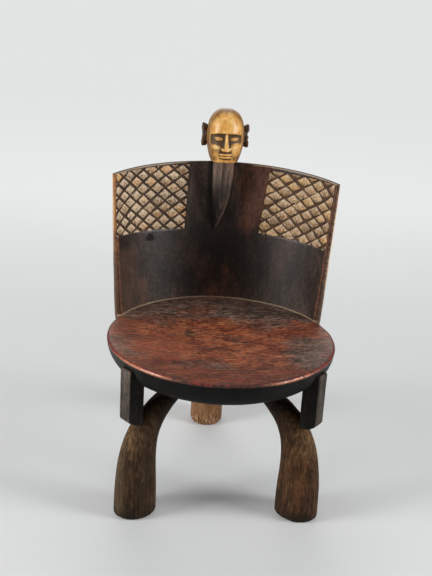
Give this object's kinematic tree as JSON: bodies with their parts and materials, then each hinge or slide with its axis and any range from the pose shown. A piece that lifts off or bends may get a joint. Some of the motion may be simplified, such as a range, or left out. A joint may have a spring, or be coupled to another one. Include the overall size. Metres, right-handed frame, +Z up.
{
  "type": "carved wooden chair",
  "caption": "Low carved wooden chair: round dished seat on bent legs with short posts, tall curved back with cross-cut panels, and a small bearded head on its top edge.",
  "frame": {"origin": "on the floor, in the plane between left and right, midway between the chair's front and rear", "axes": "+Z up, -Y the way the sitter faces, +X to the viewer's right from in front of the chair"},
  "size_m": [0.3903, 0.463, 0.618],
  "materials": {
    "seat_wood": "worn, hand-polished red-brown",
    "back_wood": "dark patina, semi-gloss",
    "head_wood": "worn honey-coloured, satin",
    "ear_wood": "dark patina, satin",
    "beard_wood": "dark patina, satin",
    "leg_wood": "dry, matt brown",
    "post_wood": "dark, dusty",
    "dowel_wood": "unfinished, hidden"
  },
  "bodies": {
    "root": {"seat": "seat_wood", "backrest": "back_wood", "head": "head_wood", "left_ear": "ear_wood", "right_ear": "ear_wood", "beard": "beard_wood", "front_left_leg": "leg_wood", "front_right_leg": "leg_wood", "rear_leg": "leg_wood", "front_left_post": "post_wood", "front_right_post": "post_wood", "rear_post": "post_wood", "back_dowel_1": "dowel_wood", "back_dowel_2": "dowel_wood", "back_dowel_3": "dowel_wood", "back_dowel_4": "dowel_wood", "back_dowel_5": "dowel_wood", "neck_pin_upper": "dowel_wood", "neck_pin_lower": "dowel_wood"}
  },
  "joints": []
}
